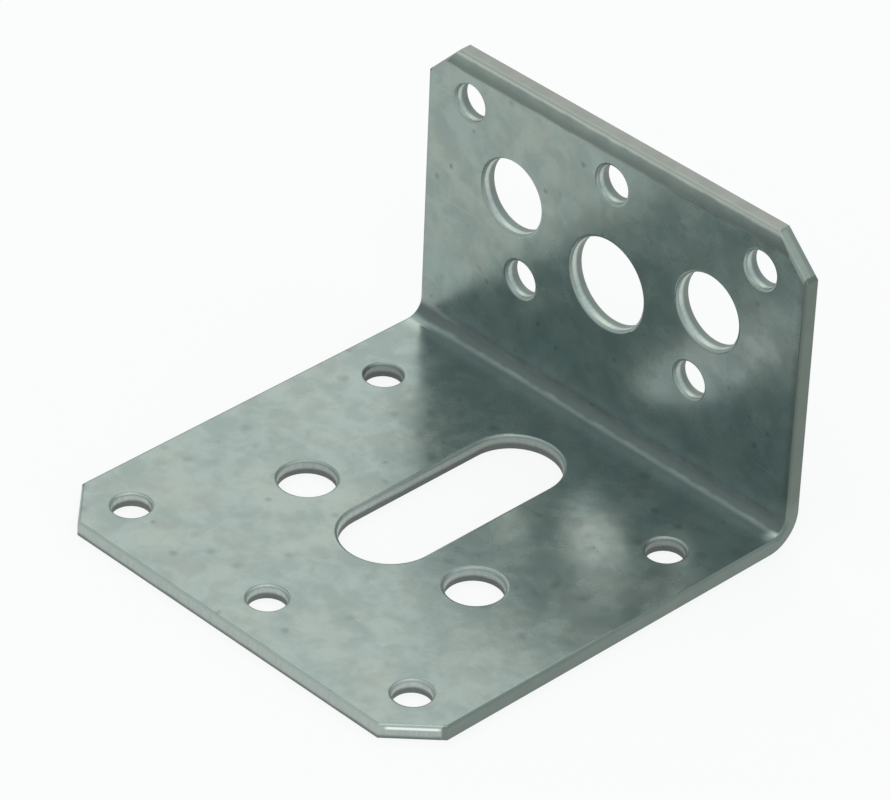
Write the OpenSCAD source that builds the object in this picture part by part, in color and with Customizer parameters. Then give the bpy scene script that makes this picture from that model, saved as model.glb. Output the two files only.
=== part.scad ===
// Angle bracket punched from flat sheet and folded once, in millimetres.
// X runs along the fold, Y towards the upright leg, Z up from the underside.
// The origin is the middle of the footprint, on the underside.

/* [Sheet] */
// Width of the sheet, along the fold
sheet_width = 65; // [60:0.5:120]
// Thickness of the sheet
sheet_thickness = 2; // [1.5:0.1:3]
// Radius of the fold on its inner side
fold_inner_radius = 2.2; // [1:0.1:3.5]
// How much thinner the sheet is drawn in the middle of the fold
fold_thinning = 0.17; // [0:0.01:0.3]
// Length of the base leg, from the back of the upright leg to the free end
base_length = 65.5; // [60:0.5:120]
// Height of the upright leg, from the underside to the top edge
upright_height = 43.8; // [38:0.1:90]
// Cut-off at each free corner of the base leg, along both edges
base_corner_cut = 5.8; // [1:0.1:7]
// Cut-off at each top corner of the upright leg, along both edges
upright_corner_cut = 5.2; // [1:0.1:6]

/* [Edges] */
// Radius of the edge that punching turns down on the inner face
edge_roll_radius = 0.45; // [0.1:0.05:0.9]
// Height of the strip that leans back along the top edge of the upright
top_strip_height = 2.6; // [1.2:0.1:3.2]
// How far that strip leans back at the top edge
top_strip_lean = 0.15; // [0.05:0.01:0.3]

/* [Nail holes] */
// Diameter of each nail hole
nail_hole_diameter = 5; // [3:0.1:5.5]
// From each side edge to the centres of the outer nail holes
nail_side_margin = 7.5; // [6.5:0.1:8.5]
// From the back of the upright to the nail holes beside the fold
base_nail_setback = 15.5; // [12:0.1:20]
// From the free end of the base to its corner nail holes
base_nail_end_margin = 7.25; // [6:0.05:8.5]
// From the free end of the base to its middle nail hole
base_middle_nail_end_margin = 7; // [5:0.05:8.5]
// From the top edge of the upright to its upper nail holes
upright_nail_top_margin = 6.7; // [5:0.1:7]
// From the top edge of the upright to its lower nail holes
lower_nail_top_margin = 28.1; // [26:0.1:30]
// Centre distance of the lower nail holes of the upright
lower_nail_pitch = 29.6; // [26:0.1:40]

/* [Screw and bolt holes] */
// Diameter of the two screw holes in the base
screw_hole_diameter = 7.5; // [5:0.1:9]
// Centre distance of the screw holes in the base
screw_hole_pitch = 29.75; // [27:0.05:36]
// From the back of the upright to the screw holes in the base
screw_hole_setback = 38.15; // [30:0.05:45]
// Diameter of the two bolt holes in the upright
bolt_hole_diameter = 10.2; // [8:0.1:11]
// Centre distance of the bolt holes in the upright
bolt_hole_pitch = 34; // [31:0.1:36]
// From the top edge of the upright to its bolt holes
bolt_hole_top_margin = 16.8; // [16:0.1:19]
// Diameter of the middle hole in the upright
middle_hole_diameter = 12.5; // [8:0.1:13.5]
// From the top edge of the upright to its middle hole
middle_hole_top_margin = 21.35; // [20.5:0.05:25]

/* [Slot] */
// Width of the slot in the base
slot_width = 12.6; // [8:0.1:16]
// Length of the slot in the base, over its round ends
slot_length = 34; // [20:0.5:38]
// From the back of the upright to the near end of the slot
slot_setback = 10.6; // [9:0.1:12]

/* [Hidden] */
$fn = 96;
zinc_grey = [0.63, 0.68, 0.66];
// How far a cutting shape reaches past the face that it cuts
overcut = 0.5;
// The larger this radius, the less sheet is left between the two arcs of the fold
fold_outer_radius = fold_inner_radius + sheet_thickness + fold_thinning / (sqrt(2) - 1);
// From the outer face of each leg to the centre of the fold's inner arc
fold_inner_centre = sheet_thickness + fold_inner_radius;
nail_hole_pitch = sheet_width - 2 * nail_side_margin;

// A rectangle from the origin whose lower right corner is round
module rounded_heel(length, height, radius) {
    square([length - radius, height]);
    translate([0, radius]) square([length, height - radius]);
    translate([length - radius, radius]) circle(radius);
}

// Side view of the folded sheet, from the free end of the base at the origin
module side_profile() {
    difference() {
        rounded_heel(base_length, upright_height, fold_outer_radius);
        translate([-overcut, sheet_thickness])
            rounded_heel(
                base_length - sheet_thickness + overcut,
                upright_height,
                fold_inner_radius
            );
    }
}

module folded_sheet() {
    translate([0, -base_length / 2, 0])
        rotate([90, 0, 90])
            linear_extrude(height = sheet_width, center = true) side_profile();
}

// What punching takes off the inner face beside an edge, an arc tangent to face and wall.
// The edge is at x = 0 with the sheet on its +x side, and the inner face is y = 0.
module edge_roll_section() {
    difference() {
        translate([-overcut, -edge_roll_radius])
            square([edge_roll_radius + overcut, edge_roll_radius + overcut]);
        translate([edge_roll_radius, -edge_roll_radius]) circle(edge_roll_radius);
    }
}

// The strip that leans back beside an edge, with its own turned-down edge
module leaning_strip_section() {
    polygon([
        [-overcut, overcut],
        [-overcut, -top_strip_lean],
        [edge_roll_radius, -top_strip_lean],
        [top_strip_height, 0],
        [top_strip_height, overcut]
    ]);
    translate([0, -top_strip_lean]) edge_roll_section();
}

// Extrudes such a section along a straight edge on the x axis, with the sheet on its -y side
module along_straight_edge(length) {
    rotate([90, 0, -90])
        linear_extrude(height = length, center = true) children();
}

module straight_edge_roll(length) {
    along_straight_edge(length) edge_roll_section();
}

// Round hole through a leg whose inner face is z = 0, with its turned-down rim
module punched_hole(diameter) {
    translate([0, 0, -sheet_thickness - overcut])
        cylinder(d = diameter, h = sheet_thickness + 2 * overcut);
    rotate_extrude() translate([diameter / 2, 0]) edge_roll_section();
}

module punched_hole_pair(diameter, pitch) {
    for (side = [-1, 1])
        translate([side * pitch / 2, 0, 0]) punched_hole(diameter);
}

// Slot along y with round ends, centred on the origin
module punched_slot(width, length) {
    straight = length - width;
    translate([-width / 2, -straight / 2, -sheet_thickness - overcut])
        cube([width, straight, sheet_thickness + 2 * overcut]);
    for (end = [-1, 1])
        translate([0, end * straight / 2, 0]) punched_hole(width);
    for (side = [-1, 1])
        translate([side * width / 2, 0, 0])
            rotate([0, 0, side * 90]) straight_edge_roll(straight);
}

// One free corner cut at 45 degrees, side is -1 or 1
module corner_cut(leg_length, cut, side) {
    edge_length = cut * sqrt(2);
    translate([side * (sheet_width - cut) / 2, leg_length - cut / 2, 0])
        rotate([0, 0, -side * 45]) {
            translate([-edge_length, 0, -sheet_thickness - overcut])
                cube([2 * edge_length, edge_length, sheet_thickness + 2 * overcut]);
            straight_edge_roll(2 * edge_length);
        }
}

// Outline cuts of a leg that lies along +y with its inner face at z = 0
module leg_outline(leg_length, cut) {
    straight = leg_length - fold_inner_centre;
    translate([0, leg_length, 0]) straight_edge_roll(sheet_width + 2 * overcut);
    for (side = [-1, 1]) {
        translate([side * sheet_width / 2, fold_inner_centre + straight / 2, 0])
            rotate([0, 0, -side * 90]) straight_edge_roll(straight);
        corner_cut(leg_length, cut, side);
    }
}

// Turned-down side edges where they pass around the inside of the fold
module fold_edges() {
    translate([0, base_length / 2 - fold_inner_centre, fold_inner_centre])
        rotate([0, 90, 0])
            for (side = [0, 1])
                mirror([0, 0, side])
                    rotate_extrude(angle = 90)
                        translate([fold_inner_radius, -sheet_width / 2])
                            rotate(90) edge_roll_section();
}

// Leaning strip of the upright, which lies along +y from the underside
module top_strip() {
    translate([0, upright_height, 0])
        along_straight_edge(sheet_width + 2 * overcut) leaning_strip_section();
}

// Holes of the base leg, measured along +y from the back of the upright
module base_holes() {
    translate([0, base_nail_setback, 0])
        punched_hole_pair(nail_hole_diameter, nail_hole_pitch);
    translate([0, slot_setback + slot_length / 2, 0])
        punched_slot(slot_width, slot_length);
    translate([0, screw_hole_setback, 0])
        punched_hole_pair(screw_hole_diameter, screw_hole_pitch);
    translate([0, base_length - base_nail_end_margin, 0])
        punched_hole_pair(nail_hole_diameter, nail_hole_pitch);
    translate([0, base_length - base_middle_nail_end_margin, 0])
        punched_hole(nail_hole_diameter);
}

// Holes of the upright leg, measured along +y from the underside
module upright_holes() {
    translate([0, upright_height - lower_nail_top_margin, 0])
        punched_hole_pair(nail_hole_diameter, lower_nail_pitch);
    translate([0, upright_height - middle_hole_top_margin, 0])
        punched_hole(middle_hole_diameter);
    translate([0, upright_height - bolt_hole_top_margin, 0])
        punched_hole_pair(bolt_hole_diameter, bolt_hole_pitch);
    translate([0, upright_height - upright_nail_top_margin, 0]) {
        punched_hole_pair(nail_hole_diameter, nail_hole_pitch);
        punched_hole(nail_hole_diameter);
    }
}

module angle_bracket() {
    color(zinc_grey)
        difference() {
            folded_sheet();
            fold_edges();
            translate([0, base_length / 2, sheet_thickness])
                rotate([0, 0, 180]) {
                    leg_outline(base_length, base_corner_cut);
                    base_holes();
                }
            translate([0, base_length / 2 - sheet_thickness, 0])
                rotate([90, 0, 0]) {
                    leg_outline(upright_height, upright_corner_cut);
                    top_strip();
                    upright_holes();
                }
        }
}

angle_bracket();
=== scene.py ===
"""An angle bracket of galvanised sheet on a plain pale floor.

Lengths are in metres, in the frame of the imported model: X runs along the fold, Y towards the
upright leg and Z up from the underside of the base leg. Names that end in _MM are in millimetres,
and so are all lengths inside the material.
"""

import math

import bpy
from mathutils import Matrix, Vector


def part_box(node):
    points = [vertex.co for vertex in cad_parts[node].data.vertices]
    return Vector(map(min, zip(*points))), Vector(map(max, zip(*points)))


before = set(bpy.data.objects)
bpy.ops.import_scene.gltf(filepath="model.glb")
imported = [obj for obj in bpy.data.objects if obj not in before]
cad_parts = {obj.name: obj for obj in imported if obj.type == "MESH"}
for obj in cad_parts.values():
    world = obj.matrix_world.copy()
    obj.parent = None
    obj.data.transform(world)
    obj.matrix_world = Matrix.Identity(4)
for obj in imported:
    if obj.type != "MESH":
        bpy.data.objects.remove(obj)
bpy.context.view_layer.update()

MM = 0.001

# Camera
CAMERA_PLACE = Vector((0.39841, -0.40029, 0.41252))
VIEW_AZIMUTH = math.radians(44.636)
VIEW_ELEVATION = math.radians(34.853)
VIEW_ROLL = math.radians(2.389)
SENSOR_WIDTH_MM = 36
LENS_MM = 229.8

# Studio
FLOOR_REACH = 3.0
FLOOR_DROP = 0.02 * MM
FLOOR_COLOUR = (0.9, 0.9, 0.9, 1)
FLOOR_WHITE_SHARE = 0.85
FLOOR_WHITE_SHARE_MIRRORED = 0.64
SKY_COLOUR = (0.86, 0.99, 1.03, 1)
SKY_AT_HORIZON = 0.6
SKY_OVERHEAD = 0.74
SKY_RISE = (0, 0.6)
SOFTBOX_DISTANCE = 1.2
WARM_LIGHT = (1.0, 0.92, 0.79)
WHITE_LIGHT = (1.0, 1.0, 1.0)

# Sheet
FOLD_OUTER_RADIUS_MM = 4.61
FOLD_INNER_CENTRE_MM = 4.2
TOP_STRIP_MM = 2.6
high_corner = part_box("angle_bracket")[1]
HALF_WIDTH_MM = high_corner.x / MM
HALF_LENGTH_MM = high_corner.y / MM
HEIGHT_MM = high_corner.z / MM
FOLD_AXIS_MM = (0, HALF_LENGTH_MM - FOLD_OUTER_RADIUS_MM, FOLD_OUTER_RADIUS_MM)
FAR_MM = 1000
X_AXIS = (1, 0, 0)
Y_AXIS = (0, 1, 0)
Z_AXIS = (0, 0, 1)

# Every pair below is a soft step: where a zone starts to change and where the change is complete.
# Facing is 1 on the faces of the sheet and 0 on its cut walls.
WALL_FACING = (0.1, 0.4)
TURNED_FACING = (0.8, 0.97)
SLIT_FACING = (0.94, 0.995)
SLIT_EDGE_FACING = (0.4, 0.8)
HOLE_ROLL_FACING = (0.6, 0.9)
TOP_ROLL_MIDDLE_FACING = (0.4, 0.6)
TOP_ROLL_FRONT_FACING = (0.75, 0.92)

# Depths from the outer face
INNER_SIDE_MM = (1.0, 1.3)
# Depths of the painted highlight band on the right corner cut-off
CHAMFER_HIGHLIGHT_FROM_MM = (1.2, 1.4)
CHAMFER_HIGHLIGHT_TO_MM = (1.55, 1.75)
BASE_FRACTURE_MM = 0.85
UPRIGHT_FRACTURE_MM = 0.95
BASE_OUTLINE_FRACTURE_MM = 0.4
UPRIGHT_OUTLINE_FRACTURE_MM = 0.75
FRACTURE_STEP_MM = (-0.25, 0.25)

# Distances along the faces. Further from the outline than HOLES_MM, every wall is that of a hole.
HOLES_MM = (3.3, 3.7)
UPRIGHT_MM = (FOLD_OUTER_RADIUS_MM, FOLD_OUTER_RADIUS_MM + 3)
LOW_ON_UPRIGHT_MM = (16, 34)
NEAR_END_MM = (12, 45)
SLIT_SIDE_MM = (0.4, 0.6)
SHADED_SIDE_MM = (0.5, 1.5)
CROPPED_TOP_MM = (0.1, 0.3)
TOP_STRIP_SHADE_MM = (0.5, TOP_STRIP_MM - 0.2)
TOP_STRIP_END_MM = (TOP_STRIP_MM - 0.2, TOP_STRIP_MM + 0.3)
TOP_EDGE_MM = (0.5, 0.9)
END_CORNER_MM = (6.2, 7)
CHAMFER_HIGHLIGHT_HALF_LENGTH_MM = (4.0, 5.0)
LIGHT_BEFORE_FOLD_MM = (4, 6.5)

# Places around the inner side of the fold, from -2.6 at the base leg to 2.6 at the upright leg
FOLD_START = (-2.4, -1.8)
FOLD_FADE = (0.8, 2.5)
FOLD_LINE_END = (-1.15, -0.35)
LIGHT_BEFORE_FOLD_END = (-2.3, -1.7)
FOLD_END_AROUND = -2.1

# Painted highlight at the right end of the fold: how far from the side it lies, and its soft rim
FOLD_END_FROM_RIGHT_MM = 0.5
FOLD_END_SPOT_MM = (0.5, 1.8)

# Wandering of a boundary: the size of its waves, and twice how far it strays
SHADED_SIDE_WOBBLE_MM = (2, 1.2)
TOP_STRIP_WOBBLE_MM = (5, 0.5)
TOP_EDGE_WOBBLE_MM = (2, 0.4)
FOLD_WOBBLE_MM = (3, 0.9)
FOLD_FINE_WOBBLE_MM = (1, 0.5)
FOLD_END_WOBBLE_MM = (0.8, 0.8)
FRACTURE_WOBBLE_MM = (4, 0.5)
FRACTURE_FINE_WOBBLE_MM = (0.3, 0.12)

# Finish, colours are linear
ZINC_PALE = (0.350, 0.403, 0.383, 1)
ZINC_DEEP = (0.268, 0.315, 0.300, 1)
ZINC_WARM = (0.325, 0.352, 0.325, 1)
ZINC_BLUISH = (0.275, 0.333, 0.337, 1)
# Painted light and shade on the upright leg: lighter to the left, darker to the right and low
# towards the fold
UPRIGHT_LIT_LEFT_TINT = (1.02, 1.05, 0.99, 1)
UPRIGHT_SHADED_RIGHT_TINT = (0.92, 0.955, 0.93, 1)
UPRIGHT_SHADED_LOW_TINT = (0.90, 0.93, 0.94)
# Painted shade for the strips beside the upright's right side and under its top edge
PAINTED_SHADE = (0.140, 0.168, 0.150, 1)
# Painted shade on the fold, and painted highlights along it, before it and at its right end
FOLD_SHADE = (0.145, 0.170, 0.152, 1)
BEND_HIGHLIGHT = (0.295, 0.345, 0.320, 1)
BEND_START_HIGHLIGHT = (0.50, 0.58, 0.54, 1)
FOLD_END_HIGHLIGHT = (0.80, 0.84, 0.80, 1)
# Turned-down edges: lighter partly from burnish and partly as painted highlight, more so on the base
# leg
ROLLED_BASE = (0.49, 0.54, 0.49, 1)
ROLLED_BASE_HOLE = (0.385, 0.425, 0.39, 1)
ROLLED_UPRIGHT_HOLE = (0.42, 0.465, 0.425, 1)
ROLLED_UPRIGHT = (0.34, 0.375, 0.345, 1)
# Painted highlight on the turned-down top edge, graded by how the roll faces
TOP_ROLL_HIGHLIGHT_FRONT = (0.47, 0.51, 0.46, 1)
TOP_ROLL_HIGHLIGHT_MIDDLE = (0.52, 0.51, 0.44, 1)
TOP_ROLL_HIGHLIGHT_REAR = (0.42, 0.43, 0.39, 1)
# Painted highlight on the right corner cut-off at the free end
CHAMFER_HIGHLIGHT = (0.96, 1.0, 0.97, 1)
# Cut walls: painted shade towards the fold, painted light towards the free end and on the upright's
# holes
BURNISHED_SHADED_NEAR_FOLD = (0.325, 0.365, 0.34, 1)
BURNISHED_LIT_NEAR_END = (0.59, 0.64, 0.60, 1)
BURNISHED_UPRIGHT_LIT = (0.60, 0.66, 0.61, 1)
BURNISHED_END_WALL = (0.46, 0.51, 0.475, 1)
BURNISHED_TOP_CORNER = (0.405, 0.45, 0.38, 1)
FRACTURED_SHADED_NEAR_FOLD = (0.19, 0.205, 0.19, 1)
FRACTURED_LIT_NEAR_END = (0.24, 0.265, 0.245, 1)
FRACTURED_UPRIGHT = (0.32, 0.35, 0.325, 1)
# Long side walls and their edges, darkened with painted shade
SLIT_BASE_SHADED = (0.215, 0.255, 0.230, 1)
SLIT_UPRIGHT_SHADED = (0.170, 0.207, 0.178, 1)
SLIT_EDGE_BASE_SHADED = (0.24, 0.275, 0.25, 1)
SLIT_EDGE_UPRIGHT_SHADED = (0.16, 0.18, 0.165, 1)
CROPPED_TOP = (0.325, 0.333, 0.310, 1)
SPECK = (0.11, 0.13, 0.12, 1)
SCRATCH = (0.42, 0.47, 0.45, 1)
METALLIC = 0.95

# Shares of a finish over what lies under it
CAST_SHARE = 0.4
SCRATCH_SHARE = 0.5
SPECK_SHARE_BASE = 0.35
SPECK_SHARE_UPRIGHT = 0.5
FOLD_SHARE = 0.9
BEND_START_SHARE = 0.6
SHADED_SIDE_SHARE = 0.4
TOP_STRIP_LEAST_SHARE = 0.35
TOP_STRIP_MOST_SHARE = 0.85
TOP_EDGE_SHARE = 0.9
PUNCH_LINE_SHARE = 0.2

# Pattern of the coating
SMALL_BLOTCH_MM = 3.5
LARGE_BLOTCH_MM = 6
BLOTCH_STEP = (0.36, 0.64)
SCRATCH_STRETCH = (0.05, 2.5, 2.5)
SCRATCH_STEP = (0.72, 0.78)
SCRATCH_PATCH_MM = 9
SCRATCH_PATCH_STEP = (0.50, 0.65)
PUNCH_LINE_STRETCH_BASE = (3, 3, 0.3)
PUNCH_LINE_STRETCH_UPRIGHT = (3, 0.3, 3)
PUNCH_LINE_STEP = (0.4, 0.7)

# Specks, with their radii in cells of the pattern
SPECK_CELLS_PER_MM = 0.3
SPECK_CHANCE = (0.3, 0.6)
SPECK_CORE = 0.05
SPECK_LEAST_RADIUS = 0.08
SPECK_ADDED_RADIUS = 0.32
SPECK_WAVES_PER_MM = 1.4
SPECK_WAVE_REACH_MM = (0.4, 0.4, 0.4)

# Relief and roughness
BUMP_DEPTH_MM = 0.05
WAVE_MM = 7
RIPPLE_MM = 2.2
RIPPLE_SHARE = 0.25
GRAIN_MM = 0.8
GRAIN_SHARE = 0.008
TEAR_MM = 0.25
SHEEN_PATCH_MM = 4
SHEEN_PATCH_STEP = (0.35, 0.65)
ROUGHNESS_LEAST = 0.22
ROUGHNESS_MOST = 0.30
TURNED_ROUGHER = 0.2
CHAMFER_HIGHLIGHT_SMOOTHER = 0.2
FRACTURE_ROUGHER = 0.2
FOLD_ROUGHER = 0.15


def make_camera():
    data = bpy.data.cameras.new("camera")
    data.sensor_width = SENSOR_WIDTH_MM
    data.lens = LENS_MM
    camera = bpy.data.objects.new("camera", data)
    bpy.context.scene.collection.objects.link(camera)
    turn = Matrix.Rotation(VIEW_AZIMUTH, 4, "Z")
    turn = turn @ Matrix.Rotation(math.pi / 2 - VIEW_ELEVATION, 4, "X")
    turn = turn @ Matrix.Rotation(VIEW_ROLL, 4, "Z")
    camera.matrix_world = Matrix.Translation(CAMERA_PLACE) @ turn
    bpy.context.scene.camera = camera


def plug(tree, value, socket):
    """Links a socket to an input, or writes a plain value there."""
    if isinstance(value, bpy.types.NodeSocket):
        tree.links.new(value, socket)
    else:
        socket.default_value = value


def maths(tree, operation, *values):
    node = tree.nodes.new("ShaderNodeMath")
    node.operation = operation
    for value, socket in zip(values, node.inputs):
        plug(tree, value, socket)
    return node.outputs["Value"]


def total(tree, first, *others):
    for other in others:
        first = maths(tree, "ADD", first, other)
    return first


def product(tree, first, *others):
    for other in others:
        first = maths(tree, "MULTIPLY", first, other)
    return first


def difference(tree, first, second):
    return maths(tree, "SUBTRACT", first, second)


def vectors(tree, operation, *values):
    node = tree.nodes.new("ShaderNodeVectorMath")
    node.operation = operation
    for value, socket in zip(values, node.inputs):
        plug(tree, value, socket)
    measured = operation in ("LENGTH", "DOT_PRODUCT")
    return node.outputs["Value" if measured else "Vector"]


def dot(tree, first, second):
    return vectors(tree, "DOT_PRODUCT", first, second)


def remap(tree, value, low, high, start=0, end=1):
    """Smooth step from start, where value is low, to end, where it is high."""
    node = tree.nodes.new("ShaderNodeMapRange")
    node.interpolation_type = "SMOOTHSTEP"
    for name, setting in (
        ("Value", value), ("From Min", low), ("From Max", high), ("To Min", start), ("To Max", end)
    ):
        plug(tree, setting, node.inputs[name])
    return node.outputs["Result"]


def over(tree, value, step):
    """Mask of where a value is over a soft step."""
    return remap(tree, value, step[0], step[1])


def under(tree, value, step):
    """Mask of where a value is under a soft step."""
    return remap(tree, value, step[0], step[1], 1, 0)


def noise(tree, place, size_mm, detail=2, roughness=0.5, distortion=0):
    node = tree.nodes.new("ShaderNodeTexNoise")
    node.inputs["Scale"].default_value = 1 / size_mm
    node.inputs["Detail"].default_value = detail
    node.inputs["Roughness"].default_value = roughness
    node.inputs["Distortion"].default_value = distortion
    tree.links.new(place, node.inputs["Vector"])
    return node.outputs["Fac"]


def mixed(tree, share, first, second):
    """Colour between first, at share 0, and second, at share 1."""
    node = tree.nodes.new("ShaderNodeMix")
    node.data_type = "RGBA"
    share_input, first_input, second_input = node.inputs[0], node.inputs[6], node.inputs[7]
    plug(tree, share, share_input)
    plug(tree, first, first_input)
    plug(tree, second, second_input)
    return node.outputs[2]


def white_share(tree):
    """How white the floor shows by itself, straight on, through glass and in a mirror."""
    path = tree.nodes.new("ShaderNodeLightPath")
    seen = maths(tree, "MAXIMUM", path.outputs["Is Camera Ray"], path.outputs["Is Transmission Ray"])
    seen = product(tree, seen, FLOOR_WHITE_SHARE)
    mirrored = product(tree, path.outputs["Is Glossy Ray"], FLOOR_WHITE_SHARE_MIRRORED)
    return maths(tree, "MAXIMUM", seen, mirrored)


def pale_floor():
    material = bpy.data.materials.new("pale_floor")
    material.use_nodes = True
    tree = material.node_tree
    tree.nodes.clear()
    diffuse = tree.nodes.new("ShaderNodeBsdfDiffuse")
    diffuse.inputs["Color"].default_value = FLOOR_COLOUR
    white = tree.nodes.new("ShaderNodeEmission")
    white.inputs["Strength"].default_value = 1
    blend = tree.nodes.new("ShaderNodeMixShader")
    output = tree.nodes.new("ShaderNodeOutputMaterial")
    tree.links.new(white_share(tree), blend.inputs[0])
    tree.links.new(diffuse.outputs[0], blend.inputs[1])
    tree.links.new(white.outputs[0], blend.inputs[2])
    tree.links.new(blend.outputs[0], output.inputs["Surface"])
    return material


def make_floor():
    reach = FLOOR_REACH
    mesh = bpy.data.meshes.new("floor")
    corners = [(-reach, -reach, 0), (reach, -reach, 0), (reach, reach, 0), (-reach, reach, 0)]
    mesh.from_pydata(corners, [], [(0, 1, 2, 3)])
    mesh.materials.append(pale_floor())
    floor = bpy.data.objects.new("floor", mesh)
    bpy.context.scene.collection.objects.link(floor)
    floor.location.z = -FLOOR_DROP


def make_world():
    """Even dome that gets lighter from the horizon to overhead."""
    world = bpy.data.worlds.new("studio")
    bpy.context.scene.world = world
    world.use_nodes = True
    tree = world.node_tree
    background = tree.nodes["Background"]
    background.inputs["Color"].default_value = SKY_COLOUR
    direction = tree.nodes.new("ShaderNodeTexCoord").outputs["Generated"]
    rise = dot(tree, direction, Z_AXIS)
    strength = remap(tree, rise, *SKY_RISE, SKY_AT_HORIZON, SKY_OVERHEAD)
    tree.links.new(strength, background.inputs["Strength"])


def make_softbox(name, azimuth, elevation, brightness, size=1.0, colour=WHITE_LIGHT):
    """Square lamp that faces the origin. Azimuth 0 is on the -Y side and 90 on the +X side.

    A brightness of 1 shows as white in a mirror.
    """
    data = bpy.data.lights.new(name, "AREA")
    data.shape = "SQUARE"
    data.size = size
    data.color = colour
    data.energy = brightness * math.pi * size ** 2
    lamp = bpy.data.objects.new(name, data)
    bpy.context.scene.collection.objects.link(lamp)
    around = math.radians(azimuth)
    rise = math.radians(elevation)
    level = math.cos(rise)
    away = Vector((math.sin(around) * level, -math.cos(around) * level, math.sin(rise)))
    turn = away.to_track_quat("Z", "Y").to_matrix().to_4x4()
    lamp.matrix_world = Matrix.Translation(away * SOFTBOX_DISTANCE) @ turn


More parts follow.
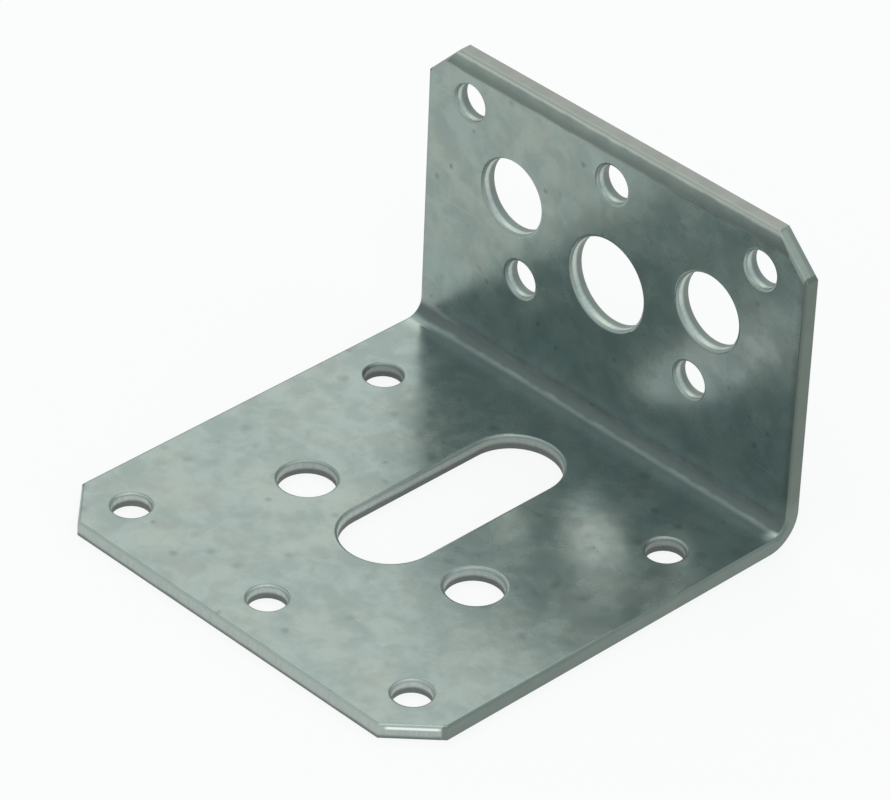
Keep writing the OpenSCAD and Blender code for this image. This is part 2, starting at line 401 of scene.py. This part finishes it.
class SheetZones:
    """Masks of the parts of the sheet, worked out from a place in mm and the surface normal."""

    def __init__(self, tree, place, normal):
        self.tree = tree
        self.place = place
        self.measure_section(normal)
        self.measure_distances()
        self.wall = under(tree, self.facing, WALL_FACING)
        self.turned = under(tree, self.facing, TURNED_FACING)
        self.inner_side = over(tree, self.depth, INNER_SIDE_MM)
        self.rolled = product(tree, self.turned, self.inner_side)
        self.mark_sides_and_top()
        self.mark_fold()
        self.fracture = self.find_fracture()
        self.chamfer_highlight = self.find_chamfer_highlight()

    def measure_section(self, normal):
        """The way through the sheet, which the fold turns from Z to Y, and the depth along it."""
        tree = self.tree
        from_axis = vectors(tree, "SUBTRACT", self.place, FOLD_AXIS_MM)
        from_axis = vectors(tree, "MAXIMUM", from_axis, (0, 0, -FAR_MM))
        from_axis = vectors(tree, "MINIMUM", from_axis, (0, FAR_MM, 0))
        through = vectors(tree, "NORMALIZE", from_axis)
        self.facing = maths(tree, "ABSOLUTE", dot(tree, through, normal))
        self.depth = difference(tree, FOLD_OUTER_RADIUS_MM, vectors(tree, "LENGTH", from_axis))
        back = dot(tree, from_axis, Y_AXIS)
        down = dot(tree, from_axis, (0, 0, -1))
        self.around = difference(tree, back, down)

    def measure_distances(self):
        """Distances from the edges of the sheet, and where they put a place."""
        tree = self.tree
        aside = dot(tree, vectors(tree, "ABSOLUTE", self.place), X_AXIS)
        along = dot(tree, self.place, Y_AXIS)
        up = dot(tree, self.place, Z_AXIS)
        self.from_side = difference(tree, HALF_WIDTH_MM, aside)
        self.from_right = difference(tree, HALF_WIDTH_MM, dot(tree, self.place, X_AXIS))
        self.from_end = total(tree, along, HALF_LENGTH_MM)
        self.from_back = difference(tree, HALF_LENGTH_MM, along)
        self.from_top = difference(tree, HEIGHT_MM, up)
        from_outline = maths(tree, "MINIMUM", self.from_side, self.from_end)
        from_outline = maths(tree, "MINIMUM", from_outline, self.from_top)
        self.in_hole = over(tree, from_outline, HOLES_MM)
        self.upright = over(tree, up, UPRIGHT_MM)
        self.near_end = under(tree, self.from_end, NEAR_END_MM)

    def wobble(self, size_mm, reach_mm):
        """Slow wandering of a boundary, by up to about half of reach_mm each way."""
        centred = difference(self.tree, noise(self.tree, self.place, size_mm), 0.5)
        return product(self.tree, centred, reach_mm)

    def mark_sides_and_top(self):
        """The long sides, a strip of painted shade beside the right one, the top wall and the
        painted shade under it.
        """
        tree = self.tree
        tilted = under(tree, self.facing, SLIT_FACING)
        self.slit_side = product(tree, tilted, under(tree, self.from_side, SLIT_SIDE_MM))
        # Painted shade beside the right side of the upright
        beside = total(tree, self.from_right, self.wobble(*SHADED_SIDE_WOBBLE_MM))
        beside = under(tree, beside, SHADED_SIDE_MM)
        self.shaded_side = product(tree, beside, SHADED_SIDE_SHARE, self.upright)
        self.cropped_top = product(tree, self.wall, under(tree, self.from_top, CROPPED_TOP_MM))
        # Painted shade under the top edge, darker further down the strip
        lower = total(tree, self.from_top, self.wobble(*TOP_STRIP_WOBBLE_MM))
        shade = remap(tree, lower, *TOP_STRIP_SHADE_MM, TOP_STRIP_LEAST_SHARE, TOP_STRIP_MOST_SHARE)
        self.shaded_top_strip = product(tree, under(tree, lower, TOP_STRIP_END_MM), shade, self.inner_side)
        # Painted highlight along the top edge
        edge = total(tree, self.from_top, self.wobble(*TOP_EDGE_WOBBLE_MM))
        edge = under(tree, edge, TOP_EDGE_MM)
        self.top_edge_highlight = product(tree, edge, TOP_EDGE_SHARE, self.inner_side)

    def mark_fold(self):
        """The inner side of the fold, the painted highlight along it, the painted highlight at its
        end and the one before it.
        """
        tree = self.tree
        crooked = total(tree, self.around, self.wobble(*FOLD_WOBBLE_MM))
        crooked = total(tree, crooked, self.wobble(*FOLD_FINE_WOBBLE_MM))
        fold = product(tree, over(tree, self.around, FOLD_START), self.inner_side)
        self.fold = product(tree, fold, under(tree, crooked, FOLD_FADE))
        self.fold_highlight_line = product(tree, self.fold, under(tree, crooked, FOLD_LINE_END))
        # Painted highlight on the base leg just before the fold
        light = product(tree, under(tree, self.from_back, LIGHT_BEFORE_FOLD_MM), self.inner_side)
        light = product(tree, light, under(tree, self.around, LIGHT_BEFORE_FOLD_END))
        self.bend_start_highlight = product(tree, light, BEND_START_SHARE)
        # Painted highlight spot at the right end of the fold
        on_base = difference(tree, self.from_back, FOLD_INNER_CENTRE_MM)
        on_base = maths(tree, "MAXIMUM", on_base, 0)
        across = difference(tree, self.from_right, FOLD_END_FROM_RIGHT_MM)
        around = difference(tree, difference(tree, self.around, on_base), FOLD_END_AROUND)
        around = total(tree, around, self.wobble(*FOLD_END_WOBBLE_MM))
        squares = total(tree, product(tree, across, across), product(tree, around, around))
        spot = under(tree, maths(tree, "SQRT", squares), FOLD_END_SPOT_MM)
        self.fold_end_highlight = product(tree, spot, self.inner_side)

    def find_fracture(self):
        """The broken part of a punched wall, near the outer face, deeper in the holes."""
        tree = self.tree
        in_hole = remap(tree, self.upright, 0, 1, BASE_FRACTURE_MM, UPRIGHT_FRACTURE_MM)
        on_outline = remap(
            tree, self.upright, 0, 1, BASE_OUTLINE_FRACTURE_MM, UPRIGHT_OUTLINE_FRACTURE_MM
        )
        limit = remap(tree, self.in_hole, 0, 1, on_outline, in_hole)
        ragged = total(tree, self.depth, self.wobble(*FRACTURE_WOBBLE_MM))
        ragged = total(tree, ragged, self.wobble(*FRACTURE_FINE_WOBBLE_MM))
        broken = under(tree, difference(tree, ragged, limit), FRACTURE_STEP_MM)
        even = maths(tree, "MAXIMUM", self.cropped_top, self.slit_side)
        return product(tree, self.wall, broken, difference(tree, 1, even))

    def find_chamfer_highlight(self):
        """The painted highlight band where the right corner cut-off at the free end turns down."""
        tree = self.tree
        corner = under(tree, total(tree, self.from_right, self.from_end), END_CORNER_MM)
        from_middle = maths(tree, "ABSOLUTE", difference(tree, self.from_right, self.from_end))
        corner = product(tree, corner, under(tree, from_middle, CHAMFER_HIGHLIGHT_HALF_LENGTH_MM))
        band = product(tree, over(tree, self.depth, CHAMFER_HIGHLIGHT_FROM_MM), self.turned)
        return product(tree, band, under(tree, self.depth, CHAMFER_HIGHLIGHT_TO_MM), corner)

    def punch_lines(self):
        """Fine lines that the punch leaves on the cut walls, through the sheet."""
        tree = self.tree
        stretched = vectors(tree, "MULTIPLY", self.place, PUNCH_LINE_STRETCH_BASE)
        through_base = noise(tree, stretched, 1)
        stretched = vectors(tree, "MULTIPLY", self.place, PUNCH_LINE_STRETCH_UPRIGHT)
        through_upright = noise(tree, stretched, 1)
        lines = remap(tree, self.upright, 0, 1, through_base, through_upright)
        return product(tree, over(tree, lines, PUNCH_LINE_STEP), PUNCH_LINE_SHARE)


def specks(tree, place):
    """Small dark spots, a few to the square centimetre."""
    waves = tree.nodes.new("ShaderNodeTexNoise")
    waves.inputs["Scale"].default_value = SPECK_WAVES_PER_MM
    tree.links.new(place, waves.inputs["Vector"])
    wandering = vectors(tree, "MULTIPLY", waves.outputs["Color"], SPECK_WAVE_REACH_MM)
    cells = tree.nodes.new("ShaderNodeTexVoronoi")
    cells.inputs["Scale"].default_value = SPECK_CELLS_PER_MM
    tree.links.new(vectors(tree, "ADD", place, wandering), cells.inputs["Vector"])
    draws = tree.nodes.new("ShaderNodeSeparateColor")
    tree.links.new(cells.outputs["Color"], draws.inputs["Color"])
    chosen = over(tree, draws.outputs[0], SPECK_CHANCE)
    added_radius = product(tree, draws.outputs[1], SPECK_ADDED_RADIUS)
    radius = total(tree, added_radius, SPECK_LEAST_RADIUS)
    return product(tree, chosen, under(tree, cells.outputs["Distance"], (SPECK_CORE, radius)))


def blotches(tree, place, size_mm):
    """Soft mottling, 0 to 1, whose larger spots are about size_mm wide."""
    clouds = noise(tree, place, size_mm, detail=3, roughness=0.55, distortion=0.3)
    return over(tree, clouds, BLOTCH_STEP)


def scratches(tree, place):
    """Fine light lines that run along the fold."""
    stretched = vectors(tree, "MULTIPLY", place, SCRATCH_STRETCH)
    lines = over(tree, noise(tree, stretched, 1, detail=1), SCRATCH_STEP)
    patches = over(tree, noise(tree, place, SCRATCH_PATCH_MM), SCRATCH_PATCH_STEP)
    return product(tree, lines, patches)


def upright_light_and_shade(tree, zones, colour):
    """The colour of the upright leg with painted light on its left and painted shade to the right
    and towards the fold.
    """
    rightness = under(tree, zones.from_right, (0, 2 * HALF_WIDTH_MM))
    tint = mixed(tree, rightness, UPRIGHT_LIT_LEFT_TINT, UPRIGHT_SHADED_RIGHT_TINT)
    colour = vectors(tree, "MULTIPLY", colour, tint)
    lowness = over(tree, zones.from_top, LOW_ON_UPRIGHT_MM)
    return mixed(tree, lowness, colour, vectors(tree, "MULTIPLY", colour, UPRIGHT_SHADED_LOW_TINT))


def coated_face(tree, place, zones):
    """Mottled zinc with faint scratches and dark specks."""
    colour = mixed(tree, blotches(tree, place, SMALL_BLOTCH_MM), ZINC_PALE, ZINC_DEEP)
    cast = mixed(tree, blotches(tree, place, LARGE_BLOTCH_MM), ZINC_WARM, ZINC_BLUISH)
    colour = mixed(tree, CAST_SHARE, colour, cast)
    # Painted light and shade on the upright leg
    colour = mixed(tree, zones.upright, colour, upright_light_and_shade(tree, zones, colour))
    colour = mixed(tree, product(tree, scratches(tree, place), SCRATCH_SHARE), colour, SCRATCH)
    speck_share = remap(tree, zones.upright, 0, 1, SPECK_SHARE_BASE, SPECK_SHARE_UPRIGHT)
    return mixed(tree, product(tree, specks(tree, place), speck_share), colour, SPECK)


def folded(tree, zones, colour):
    """Adds painted shade on the inner side of the fold, a painted highlight line along it and a
    painted highlight before it.
    """
    colour = mixed(tree, product(tree, zones.fold, FOLD_SHARE), colour, FOLD_SHADE)
    colour = mixed(tree, product(tree, zones.fold_highlight_line, FOLD_SHARE), colour, BEND_HIGHLIGHT)
    return mixed(tree, zones.bend_start_highlight, colour, BEND_START_HIGHLIGHT)


def with_shaded_strips(tree, zones, colour):
    """Adds strips of painted shade on the upright, beside its right side and under its top edge."""
    colour = mixed(tree, zones.shaded_side, colour, PAINTED_SHADE)
    return mixed(tree, zones.shaded_top_strip, colour, PAINTED_SHADE)


def base_hole_wall_light_and_shade(tree, zones):
    """Burnished wall of the base leg's holes, with painted light towards the free end and painted
    shade towards the fold.
    """
    return mixed(tree, zones.near_end, BURNISHED_SHADED_NEAR_FOLD, BURNISHED_LIT_NEAR_END)


def with_turned_edges(tree, zones, colour):
    """Adds the turned-down edges of the holes and the outline, lighter partly from burnish and
    partly as painted highlight, and the painted highlight at the end of the fold.
    """
    to_face = over(tree, zones.facing, HOLE_ROLL_FACING)
    base_hole = mixed(tree, to_face, base_hole_wall_light_and_shade(tree, zones), ROLLED_BASE_HOLE)
    base = mixed(tree, zones.in_hole, ROLLED_BASE, base_hole)
    upright = mixed(tree, zones.in_hole, ROLLED_UPRIGHT, ROLLED_UPRIGHT_HOLE)
    # Turned-down edges with burnish and painted highlight
    colour = mixed(tree, zones.rolled, colour, mixed(tree, zones.upright, base, upright))
    # Painted highlight on the top edge's roll, lighter or darker by its facing
    to_middle = over(tree, zones.facing, TOP_ROLL_MIDDLE_FACING)
    top = mixed(tree, to_middle, TOP_ROLL_HIGHLIGHT_REAR, TOP_ROLL_HIGHLIGHT_MIDDLE)
    top = mixed(tree, over(tree, zones.facing, TOP_ROLL_FRONT_FACING), top, TOP_ROLL_HIGHLIGHT_FRONT)
    colour = mixed(tree, zones.top_edge_highlight, colour, top)
    return mixed(tree, zones.fold_end_highlight, colour, FOLD_END_HIGHLIGHT)


def with_punched_walls(tree, zones, colour):
    """Adds the walls that the punch cut, burnished first and broken near the outer face, with
    painted shade towards the fold, painted light towards the free end and on the upright, and the
    painted highlight on the right corner cut-off.
    """
    in_hole = mixed(tree, zones.upright, base_hole_wall_light_and_shade(tree, zones), BURNISHED_UPRIGHT_LIT)
    on_outline = mixed(tree, zones.upright, BURNISHED_END_WALL, BURNISHED_TOP_CORNER)
    burnished = mixed(tree, zones.in_hole, on_outline, in_hole)
    fractured = mixed(tree, zones.near_end, FRACTURED_SHADED_NEAR_FOLD, FRACTURED_LIT_NEAR_END)
    fractured = mixed(tree, zones.upright, fractured, FRACTURED_UPRIGHT)
    burnished = mixed(tree, zones.punch_lines(), burnished, fractured)
    colour = mixed(tree, zones.wall, colour, burnished)
    colour = mixed(tree, zones.fracture, colour, fractured)
    # Painted highlight on the right corner cut-off
    colour = mixed(tree, zones.chamfer_highlight, colour, CHAMFER_HIGHLIGHT)
    return mixed(tree, zones.cropped_top, colour, CROPPED_TOP)


def with_slit_sides(tree, zones, colour):
    """Adds the long side walls and their edges, darkened with painted shade, more so on the upright.
    """
    wall = mixed(tree, zones.upright, SLIT_BASE_SHADED, SLIT_UPRIGHT_SHADED)
    edge = mixed(tree, zones.upright, SLIT_EDGE_BASE_SHADED, SLIT_EDGE_UPRIGHT_SHADED)
    slit = mixed(tree, over(tree, zones.facing, SLIT_EDGE_FACING), wall, edge)
    return mixed(tree, zones.slit_side, colour, slit)


def sheet_roughness(tree, place, zones):
    """Patchy sheen, duller where the sheet is bent, turned down or broken."""
    patches = noise(tree, place, SHEEN_PATCH_MM, detail=3, roughness=0.6)
    roughness = remap(tree, patches, *SHEEN_PATCH_STEP, ROUGHNESS_LEAST, ROUGHNESS_MOST)
    roughness = total(tree, roughness, product(tree, zones.turned, TURNED_ROUGHER))
    roughness = difference(tree, roughness, product(tree, zones.chamfer_highlight, CHAMFER_HIGHLIGHT_SMOOTHER))
    roughness = total(tree, roughness, product(tree, zones.fracture, FRACTURE_ROUGHER))
    return total(tree, roughness, product(tree, zones.fold, FOLD_ROUGHER))


def surface_bump(tree, place, zones):
    """Slow waviness, fainter small waves, a soft grain and the roughness of the broken wall."""
    waves = noise(tree, place, WAVE_MM)
    ripples = product(tree, noise(tree, place, RIPPLE_MM, detail=1), RIPPLE_SHARE)
    grain = product(tree, noise(tree, place, GRAIN_MM, detail=1), GRAIN_SHARE)
    tear = product(tree, zones.fracture, noise(tree, place, TEAR_MM, detail=3, roughness=0.7))
    bump = tree.nodes.new("ShaderNodeBump")
    bump.inputs["Strength"].default_value = 1
    bump.inputs["Distance"].default_value = BUMP_DEPTH_MM * MM
    tree.links.new(total(tree, waves, ripples, grain, tear), bump.inputs["Height"])
    return bump.outputs["Normal"]


def galvanised_sheet():
    material = bpy.data.materials.new("galvanised_sheet")
    material.use_nodes = True
    tree = material.node_tree
    shader = tree.nodes["Principled BSDF"]
    coordinates = tree.nodes.new("ShaderNodeTexCoord")
    place = vectors(tree, "SCALE", coordinates.outputs["Object"])
    place.node.inputs["Scale"].default_value = 1 / MM
    zones = SheetZones(tree, place, coordinates.outputs["Normal"])
    colour = coated_face(tree, place, zones)
    colour = folded(tree, zones, colour)
    colour = with_shaded_strips(tree, zones, colour)
    colour = with_turned_edges(tree, zones, colour)
    colour = with_punched_walls(tree, zones, colour)
    colour = with_slit_sides(tree, zones, colour)
    tree.links.new(colour, shader.inputs["Base Color"])
    tree.links.new(sheet_roughness(tree, place, zones), shader.inputs["Roughness"])
    tree.links.new(surface_bump(tree, place, zones), shader.inputs["Normal"])
    shader.inputs["Metallic"].default_value = METALLIC
    return material


make_camera()
make_floor()
make_world()
make_softbox("key_back_left", azimuth=225, elevation=45, brightness=0.64, colour=WARM_LIGHT)
make_softbox("overhead", azimuth=0, elevation=88, brightness=0.35, colour=WARM_LIGHT)
make_softbox("fill_right", azimuth=90, elevation=45, brightness=0.3)
make_softbox("glint_front_right", azimuth=45, elevation=62, brightness=2.0, size=0.35)

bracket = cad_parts["angle_bracket"]
bracket.material_slots[0].material = galvanised_sheet()

scene = bpy.context.scene
scene.view_settings.view_transform = "Standard"
